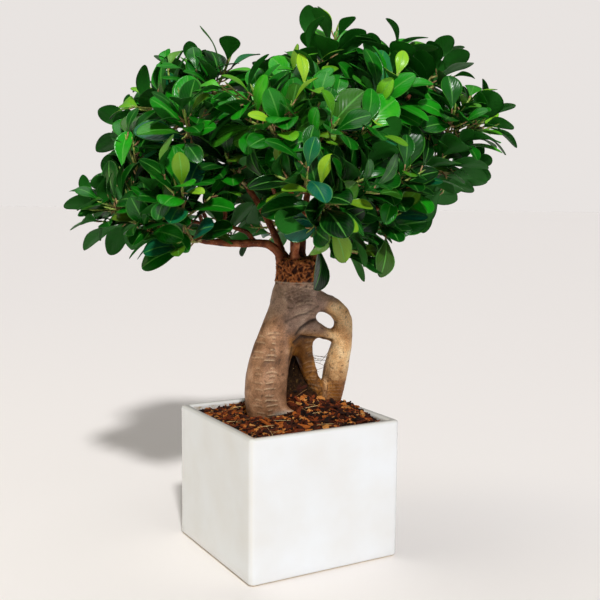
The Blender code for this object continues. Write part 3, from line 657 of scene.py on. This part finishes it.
def read_spray(node):
    """The twig's centre line and each leaf's place and size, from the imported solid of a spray."""
    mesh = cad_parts[node].data
    mesh.calc_loop_triangles()
    raw = np.array([v.co[:] for v in mesh.vertices])
    spots, index = np.unique(np.round(raw, 6), axis=0, return_inverse=True)
    index = index.ravel()
    near = {k: set() for k in range(len(spots))}
    for triangle in mesh.loop_triangles:
        a, b, c = (int(index[k]) for k in triangle.vertices)
        near[a] |= {b, c}
        near[b] |= {a, c}
        near[c] |= {a, b}
    spots = [Vector(s) for s in spots]
    leaves, used = [], set()
    for tip in (k for k in near if len(near[k]) == 3):
        widest = near[tip]
        stalk_end = set.union(*(near[k] for k in widest)) - widest - {tip}
        start = set.union(*(near[k] for k in stalk_end)) - widest - stalk_end
        used |= {tip} | widest | stalk_end
        leaves.append((tip, sorted(widest), sorted(stalk_end), sorted(start)))
    twig = set(near) - used

    def layers(first):
        """Rings of the twig one after another, from its first."""
        found, seen = [sorted(first)], set(first)
        while True:
            after = set.union(*(near[k] for k in found[-1])) & twig - seen
            if not after:
                return found
            found.append(sorted(after))
            seen |= after

    def ends():
        """Triangles that may close an end of the twig."""
        for k in sorted(twig):
            for j in sorted(near[k] & twig):
                for i in sorted(near[k] & near[j] & twig):
                    if k < j < i and all(len(near[x]) <= 4 for x in (i, j, k)):
                        yield {k, j, i}

    def spread(cap):
        """How wide an end is: the twig's foot is the widest."""
        middle = sum((spots[k] for k in cap), Vector()) / 3
        return sum((spots[k] - middle).length for k in cap)

    rings = layers(max(ends(), key=spread))
    line = [sum((spots[k] for k in ring), Vector()) / len(ring) for ring in rings]
    read = []
    for tip, widest, stalk_end, start in leaves:
        pairs = [(a, b) for a in widest for b in widest if a < b]
        left, right = max(pairs, key=lambda ab: (spots[ab[0]] - spots[ab[1]]).length)
        keel = next(k for k in widest if k not in (left, right))
        foot_keel = min(stalk_end, key=lambda k: (spots[k] - spots[keel]).length)
        foot = sum((spots[k] for k in stalk_end if k != foot_keel), Vector()) / 2
        roots = [spots[k] for k in start if k in twig]
        base = sum(roots, Vector()) / len(roots)
        blade = spots[tip] - foot
        up = (spots[left] + spots[right]) / 2 - spots[keel]
        up = (up - blade * up.dot(blade) / blade.length_squared).normalized()
        read.append({
            "base": base, "foot": foot, "blade": blade.normalized(), "up": up,
            "length": blade.length, "width": (spots[left] - spots[right]).length,
        })
    tip_of_twig = line[-1]
    read.sort(key=lambda leaf: (leaf["base"] - tip_of_twig).length)
    return line, read


LEAF_STEPS, LEAF_SIDES = 12, 4
FULL_LENGTH, FULL_WIDTH = 1.07, 1.12  # a grown blade against the straight one of the solid
LEAF_THICK = 0.40 * MM
STALK_RADIUS = 0.75 * MM


def leaf_outline(t):
    """Half-width along the blade, as a share: a wedge at the stalk, fullest past the middle."""
    return math.sin(math.pi * min(1.0, max(0.0, t)) ** 1.5) ** 0.58 * (0.50 + 0.50 * min(1, t / 0.48) ** 0.9)


def add_leaf(leaf, rng, store, tint, age):
    """Adds one blade with its stalk to the store: top face, underside, rim and midrib."""
    vertices, faces, blade_at, tints, ages, kinds = store
    forward, up = leaf["blade"], leaf["up"]
    side = forward.cross(up)
    foot, length = leaf["foot"], leaf["length"] * FULL_LENGTH
    half_width = leaf["width"] / 2 * FULL_WIDTH * (1 - 0.25 * age)
    crease, curl = rng.uniform(0.10, 0.34), rng.uniform(0.02, 0.16)
    recurve, twist = rng.uniform(0.02, 0.09), rng.uniform(-0.25, 0.25)
    wave, wave_at = rng.uniform(0.0, 0.05), rng.uniform(0, math.tau)
    start = len(vertices)
    for layer in (1, 0):
        for k in range(LEAF_STEPS + 1):
            t = 0.995 * (1 - (1 - k / LEAF_STEPS) ** 1.5)  # closer towards the tip, to keep it round
            half = half_width * leaf_outline(t) + 0.5 * MM * (1 - t) ** 6
            lean = twist * t
            across = side * math.cos(lean) + up * math.sin(lean)
            over = up * math.cos(lean) - side * math.sin(lean)
            rise = 0.10 * math.sin(math.pi * t) - recurve * t * t
            centre = foot + forward * (length * t) + up * length * rise
            for j in range(-LEAF_SIDES, LEAF_SIDES + 1):
                s = j / LEAF_SIDES
                s = math.copysign(abs(s) ** 0.85, s)
                bend = crease * abs(s) - curl * s * s * 1.6
                bend += wave * math.sin(math.tau * 1.6 * t + wave_at + (1.3 if s < 0 else 0)) * s * s
                point = centre + across * (half * s) + over * (half * bend)
                rib = max(0.0, 1 - abs(j)) * (1 - 0.7 * t)
                if layer:
                    point -= over * (0.16 * MM * rib)
                else:
                    point -= over * (LEAF_THICK * (1 - 0.75 * s**6) + 0.45 * MM * rib)
                vertices.append(point)
                blade_at.append((t, s, 1.0 - layer))
                tints.append(tint)
                ages.append(age)
    row = 2 * LEAF_SIDES + 1
    under = (LEAF_STEPS + 1) * row
    for k in range(LEAF_STEPS):
        for j in range(row - 1):
            a = start + k * row + j
            faces.append((a, a + 1, a + row + 1, a + row))
            faces.append((a + under + row, a + under + row + 1, a + under + 1, a + under))
            kinds += [0, 0]
    border = [k * row for k in range(LEAF_STEPS + 1)]
    border += [LEAF_STEPS * row + j for j in range(1, row)]
    border += [k * row + row - 1 for k in range(LEAF_STEPS - 1, -1, -1)]
    border += [j for j in range(row - 2, 0, -1)]
    for k, a in enumerate(border):
        b = border[(k + 1) % len(border)]
        faces.append((start + a, start + a + under, start + b + under, start + b))
        kinds.append(0)
    into = foot + forward * (length * 0.06) - up * (0.35 * MM)
    sag = (leaf["base"] + foot) / 2 - up * (0.5 * MM)
    path = [leaf["base"], sag, foot - up * (0.2 * MM), into]
    add_tube(path, [share * STALK_RADIUS for share in (1.15, 0.9, 1, 0.5)], 6, store, (0.0, 0.0))


def add_tube(path, radii, sides, store, green):
    """Adds a stalk, twig or bud, from grown wood at 0 to green growth at 1 from its one end to its other."""
    vertices, faces, blade_at, tints, ages, kinds = store
    start = len(vertices)
    points, polygons = run_tube(path, radii, sides)
    vertices += points
    faces += [tuple(i + start for i in face) for face in polygons]
    for k in range(len(path)):
        share = green[0] + (green[1] - green[0]) * k / (len(path) - 1)
        blade_at.extend([(k / (len(path) - 1), 0.0, 0.0)] * sides)
        ages.extend([share] * sides)
    tints.extend([(0.5, 0.0, 0.0)] * len(points))
    kinds.extend([1] * len(polygons))


def add_bud(path, steps, radii, store):
    """Adds the pointed sheath at the tip of a twig, with its radius at each step past the tip."""
    ahead = (path[-1] - path[-2]).normalized()
    bud = [path[-1] + ahead * (step * MM) for step in steps]
    add_tube(bud, [radius * MM for radius in radii], 6, store, (1.0, 1.0))


def leaf_hull(leaf):
    """A rough solid of a leaf, to test whether two leaves cross."""
    side = leaf["blade"].cross(leaf["up"]) * (leaf["width"] / 2)
    middle = leaf["foot"] + leaf["blade"] * (leaf["length"] * 0.55)
    tip = leaf["foot"] + leaf["blade"] * leaf["length"]
    over = leaf["up"] * (1.0 * MM)
    points = [leaf["foot"], middle + side + over, middle - side + over, middle - over, tip]
    faces = [(0, 2, 1), (0, 1, 3), (0, 3, 2), (4, 1, 2), (4, 3, 1), (4, 2, 3)]
    middle_of_leaf = leaf["foot"] + leaf["blade"] * (leaf["length"] / 2)
    return BVHTree.FromPolygons([p[:] for p in points], faces), middle_of_leaf, leaf["length"] / 2


GOLDEN_ANGLE = math.radians(137.5)
spray_names = sorted(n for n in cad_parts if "_spray_" in n)
sprays = {name: read_spray(name) for name in spray_names}
crown_leaves = [leaf_hull(leaf) for _, leaves in sprays.values() for leaf in leaves]
crown_spots = [at for _, at, _ in crown_leaves]
LEAF_TRIES = 8
CROWN_REACH = 22 * MM  # an added leaf's tip comes no farther than this from the middle of a packed leaf


def side_shoot(start, axis, reach, count, rng):
    """A short side shoot with leaves that cross no others: its path and its leaves."""
    lift = Vector((0, 0, 1))

    def at(t):
        """A point on the shoot, which curves up a little."""
        return start + axis * (reach * t) + lift * (reach * 0.25 * t * t)

    path = [at(t) for t in (0, 0.25, 0.5, 0.75, 1.0)]
    ahead = (path[-1] - path[-2]).normalized()
    spread = ahead.orthogonal().normalized()
    other = ahead.cross(spread)
    leaves = []
    phase = rng.uniform(0, math.tau)
    for k in range(count):
        base = at(1 - 0.8 * k / count)
        for attempt in range(LEAF_TRIES):
            turn = phase + k * GOLDEN_ANGLE + rng.uniform(-0.2, 0.2) * attempt
            opened = math.radians(38 + 42 * k / count + rng.uniform(-8, 8))
            outward = spread * math.cos(turn) + other * math.sin(turn)
            stalk = (ahead * math.cos(opened) + outward * math.sin(opened)).normalized()
            blade = (stalk + outward * 0.25 + Vector((0, 0, rng.uniform(-0.25, 0.1)))).normalized()
            up = ahead * 0.8 + lift * 0.7 - outward * 0.2
            up = (up - blade * up.dot(blade)).normalized()
            length = rng.uniform(30, 41) * MM * (0.7 if k == 0 else 1)
            leaf = {"base": base, "foot": base + stalk * (6.5 * MM), "blade": blade, "up": up,
                    "length": length, "width": length * rng.uniform(0.48, 0.58)}
            hull, middle, radius = leaf_hull(leaf)
            tip = leaf["foot"] + blade * length
            inside = min((tip - spot).length for spot in crown_spots) < CROWN_REACH
            clear = (o for o, place, size in crown_leaves if (place - middle).length < radius + size)
            if inside and not any(hull.overlap(o) for o in clear):
                crown_leaves.append((hull, middle, radius))
                leaves.append(leaf)
                break
    return path, leaves


# Ficus leaf: a thick waxy skin, so a clear soft gloss on deep green; the midrib and margin are paler, the
# underside dull and greyish, and the youngest leaves yellow-green. Leaves low in the crown are painted
# darker
# and those high and to the right lighter: painted shade and light.
SIDE_VEINS = 9  # along half a blade
leaf_skin, tree, shader, place = new_material("ficus_leaf", {
    "IOR": 1.48, "Specular IOR Level": 0.30, "Coat Weight": 0.06, "Coat Roughness": 0.2,
})
blade_place = add_node(tree, "Attribute", {"attribute_name": "blade"})
parts = add_node(tree, "SeparateXYZ", links={"Vector": blade_place.outputs["Vector"]})
tint_at = add_node(tree, "Attribute", {"attribute_name": "tint"})
tints = add_node(tree, "SeparateXYZ", links={"Vector": tint_at.outputs["Vector"]})
mottle = add_node(tree, "TexNoise", {"Scale": 1 / (11.1 * MM), "Detail": 3.0}, {"Vector": place})
mottled = add_node(tree, "MapRange", {"To Min": -0.18, "To Max": 0.18}, {"Value": mottle})
# The leaf's tone carries painted light: darker low in the crown, lighter high and to the right, with a
# random spread.
tone_sum = add_node(tree, "Math", {"operation": "ADD"}, {0: tints.outputs["X"], 1: mottled})
tone = add_node(tree, "ValToRGB", {"stops": [
    (0.0, "#021f05"), (1.0, "#55bb22"), (0.40, "#085808"), (0.75, "#1c9412")]}, {"Fac": tone_sum})
off_middle = add_node(tree, "Math", {"operation": "ABSOLUTE"}, {0: parts.outputs["Y"]})
midrib = add_node(tree, "MapRange", {"From Min": 0.03, "From Max": 0.085, "To Min": 0.6, "To Max": 0.0},
                  {"Value": off_middle})
margin = add_node(tree, "MapRange", {"From Min": 0.90, "From Max": 0.985, "To Max": 0.7},
                  {"Value": off_middle})
slant = add_node(tree, "Math", {"operation": "MULTIPLY_ADD", 1: -0.42},
                 {0: off_middle, 2: parts.outputs["X"]})
vein_count = add_node(tree, "Math", {"operation": "MULTIPLY", 1: math.tau * SIDE_VEINS}, {0: slant})
vein_wave = add_node(tree, "Math", {"operation": "SINE"}, {0: vein_count})
vein = add_node(tree, "MapRange", {"From Min": 0.86, "To Max": 0.12}, {"Value": vein_wave})
for share, colour in (  # bluish, olive and young leaves, then midrib, margin, side veins and underside
    (tints.outputs["Y"], "#0c5c48"), (tints.outputs["Z"], "#4c7a1c"), ("young", "#9cc92a"),
    (midrib, "#5fa845"), (margin, "#4f9c35"), (vein, "#4b9a38"), (parts.outputs["Z"], "#1c6416"),
):
    tone = add_node(tree, "Mix", {7: colour}, {0: share, 6: tone})
gloss = add_node(tree, "MapRange", {"To Min": 0.30, "To Max": 0.62}, {"Value": parts.outputs["Z"]})
vein_bump = add_node(tree, "Bump", {"Strength": 0.10, "Distance": 0.0004}, {"Height": vein_wave})
wire(tree, shader, {"Base Color": tone, "Roughness": gloss, "Normal": vein_bump})

# Twig skin: grey-tan cork on last year's wood that turns smooth and green towards the growing tip.
twig_skin, tree, shader, place = new_material("ficus_twig", {"Roughness": 0.55, "Specular IOR Level": 0.4})
flecks = add_node(tree, "TexNoise", {"Scale": 1 / (2 * MM), "Detail": 4.0}, {"Vector": place})
wood = add_node(tree, "ValToRGB", {"stops": [(0.35, "#6f4a2c"), (0.65, "#b79668")]}, {"Fac": flecks})
fresh = add_node(tree, "ValToRGB", {"stops": [(0.35, "#6f8f35"), (0.65, "#a9c05c")]}, {"Fac": flecks})
twig_tone = add_node(tree, "Mix", None, {0: "young", 6: wood, 7: fresh})
fleck_bump = add_node(tree, "Bump", {"Strength": 0.3, "Distance": 0.0003}, {"Height": flecks})
wire(tree, shader, {"Base Color": twig_tone, "Normal": fleck_bump})

# Painted light: shoots ending low in the crown get darker leaves, those high up and to the right lighter
# ones.
SHADE_PAINTED_BELOW, PAINTED_SUN_RISE = 0.32, 0.16  # shoots below the first height are shaded; full sun comes that much higher
FLUSHING = 0.72  # above this a shoot is in new leaf
SHOOTS, SHOOT_LEAVES = 4, 7  # tried on each spray
for number, name in enumerate(spray_names):
    rng = random.Random(500 + number)
    line, leaves = sprays[name]
    store = ([], [], [], [], [], [])
    painted_sun = min(1.0, max(0.0, (line[-1].z - SHADE_PAINTED_BELOW) / PAINTED_SUN_RISE)) + 1.2 * max(0.0, line[-1].x - 0.02)
    shoot_tone = 0.20 + 0.45 * painted_sun + rng.gauss(0, 0.09)
    flush = rng.random()
    first = (line[1] - line[0]).normalized()
    path = [line[0] - first * (2.5 * MM), *line]
    radii = [2.4 * MM] + [(1.75 - 0.65 * k / (len(line) - 1)) * MM for k in range(len(line))]
    add_tube(path, radii, 8, store, (0.0, 1.0))
    add_bud(line, (-1, 0, 2, 4.5, 7), (1.0, 1.25, 1.15, 0.7, 0.1), store)
    shoots = []
    for k in range(SHOOTS):
        at = rng.uniform(0.25, 0.8) * (len(line) - 2)
        low = int(at)
        start = line[low].lerp(line[low + 1], at - low)
        along = (line[low + 1] - line[low]).normalized()
        spin = Matrix.Rotation(rng.uniform(0, math.tau), 3, along)
        axis = (along * 0.7 + spin @ along.orthogonal().normalized()).normalized()
        shoots.append(side_shoot(start, axis, rng.uniform(20, 32) * MM, SHOOT_LEAVES, rng))
    for shoot_path, shoot_leaves in shoots:
        if not shoot_leaves:
            continue
        add_tube(shoot_path, [x * MM for x in (1.2, 1.1, 1.0, 0.9, 0.8)], 6, store, (0.3, 1.0))
        add_bud(shoot_path, (-0.5, 0, 1.5, 3.5, 5.5), (0.7, 0.95, 0.9, 0.5, 0.1), store)
    order = [(leaf, k) for k, leaf in enumerate(leaves)]
    order += [(leaf, k + 1) for _, shoot_leaves in shoots for k, leaf in enumerate(shoot_leaves)]
    for leaf, k in order:
        newness = 1.0 if flush + 0.3 * painted_sun > FLUSHING else 0.25
        young = max(0.0, newness - 0.5 * k) * rng.uniform(0.6, 1.0)
        tone = min(1.0, max(0.0, shoot_tone + rng.gauss(0, 0.16) + 0.25 * young))
        kind_of_green = rng.random()
        bluish_share = rng.uniform(0.4, 0.9) if kind_of_green < 0.08 else 0.0
        olive_share = rng.uniform(0.2, 0.5) if kind_of_green > 0.93 else 0.0
        add_leaf(leaf, rng, store, (tone, bluish_share, olive_share), young)
    vertices, faces, blade_at, tints, ages, kinds = store
    mesh = mesh_of(name + "_leaves", vertices, faces, blade=blade_at, tint=tints, young=ages)
    make_piece(name + "_leaves", mesh, [name], [leaf_skin, twig_skin])
    mesh.polygons.foreach_set("material_index", kinds)

# ---- floor, light and camera
# A sheet of pale matt paper on the floor of a pale room. A key light from behind the camera casts the one
# shadow; a wide light overhead, a weak fill at the front and a warm window at the left open up the shade.

FLOOR_DROP = 0.2 * MM  # keeps the paper clear of the planter's foot
LOOK_AT = Vector((0, 0, 0.28))
AMBIENT, BACKDROP = 0.13, 0.88  # the room's strength as it lights the tree, and as it is seen

bpy.ops.mesh.primitive_circle_add(vertices=96, radius=40.0, fill_type="NGON")
floor = bpy.context.object
floor.name = "floor"
floor.location.z = -FLOOR_DROP
# Matt paper: an even pale ground with no gloss.
paper = new_material("matt_paper", {"Base Color": "#f3eeea", "Roughness": 0.95, "Specular IOR Level": 0.1})
floor.data.materials.append(paper[0])

world = bpy.data.worlds.new("pale_room")
bpy.context.scene.world = world
world.use_nodes = True
tree = world.node_tree
seen = add_node(tree, "LightPath").outputs["Is Camera Ray"]
level = add_node(tree, "MapRange", {"To Min": AMBIENT, "To Max": BACKDROP}, {"Value": seen})
room = tree.nodes["Background"]
room.inputs["Color"].default_value = linear("#f6f1ee")
wire(tree, room, {"Strength": level})


def hang_light(name, kind, power, colour, place, aim, **shape):
    """A light of that power and colour in its place, turned along its aim."""
    lamp = bpy.data.lights.new(name, kind)
    lamp.energy = power
    lamp.color = linear(colour)[:3]
    for setting, value in shape.items():
        setattr(lamp, setting, value)
    item = bpy.data.objects.new(name, lamp)
    item.location = place
    item.rotation_euler = Vector(aim).to_track_quat("-Z", "Y").to_euler()
    bpy.context.scene.collection.objects.link(item)


for name, power, spread, aim in (
    ("key", 2.85, 5, (0.34, 0.94, -0.82)), ("overhead", 0.75, 50, (0.10, -0.15, -1.0)),
):
    hang_light(name, "SUN", power, "#fefeff", (0, 0, 0), aim, angle=math.radians(spread))
for name, power, colour, place, size in (
    ("front_fill", 2.5, "#f2f5ff", (0.45, -1.7, 0.55), 1.0),
    ("window", 5.0, "#fff3c4", (-1.7, 0.35, 0.6), 0.9),
):
    hang_light(name, "AREA", power, colour, place, LOOK_AT - Vector(place), shape="SQUARE", size=size)

CAMERA_AT = (-0.434, -0.7755, 0.341)
HEADING, DOWN, ROLL = -30.0, 6.15, 0.6  # degrees
camera = bpy.data.objects.new("camera", bpy.data.cameras.new("camera"))
camera.data.lens = 55.1
camera.matrix_world = (
    Matrix.Translation(CAMERA_AT)
    @ Matrix.Rotation(math.radians(HEADING), 4, "Z")
    @ Matrix.Rotation(math.radians(90 - DOWN), 4, "X")
    @ Matrix.Rotation(math.radians(ROLL), 4, "Z")
)
bpy.context.scene.collection.objects.link(camera)
bpy.context.scene.camera = camera
bpy.context.scene.view_settings.view_transform = "Standard"
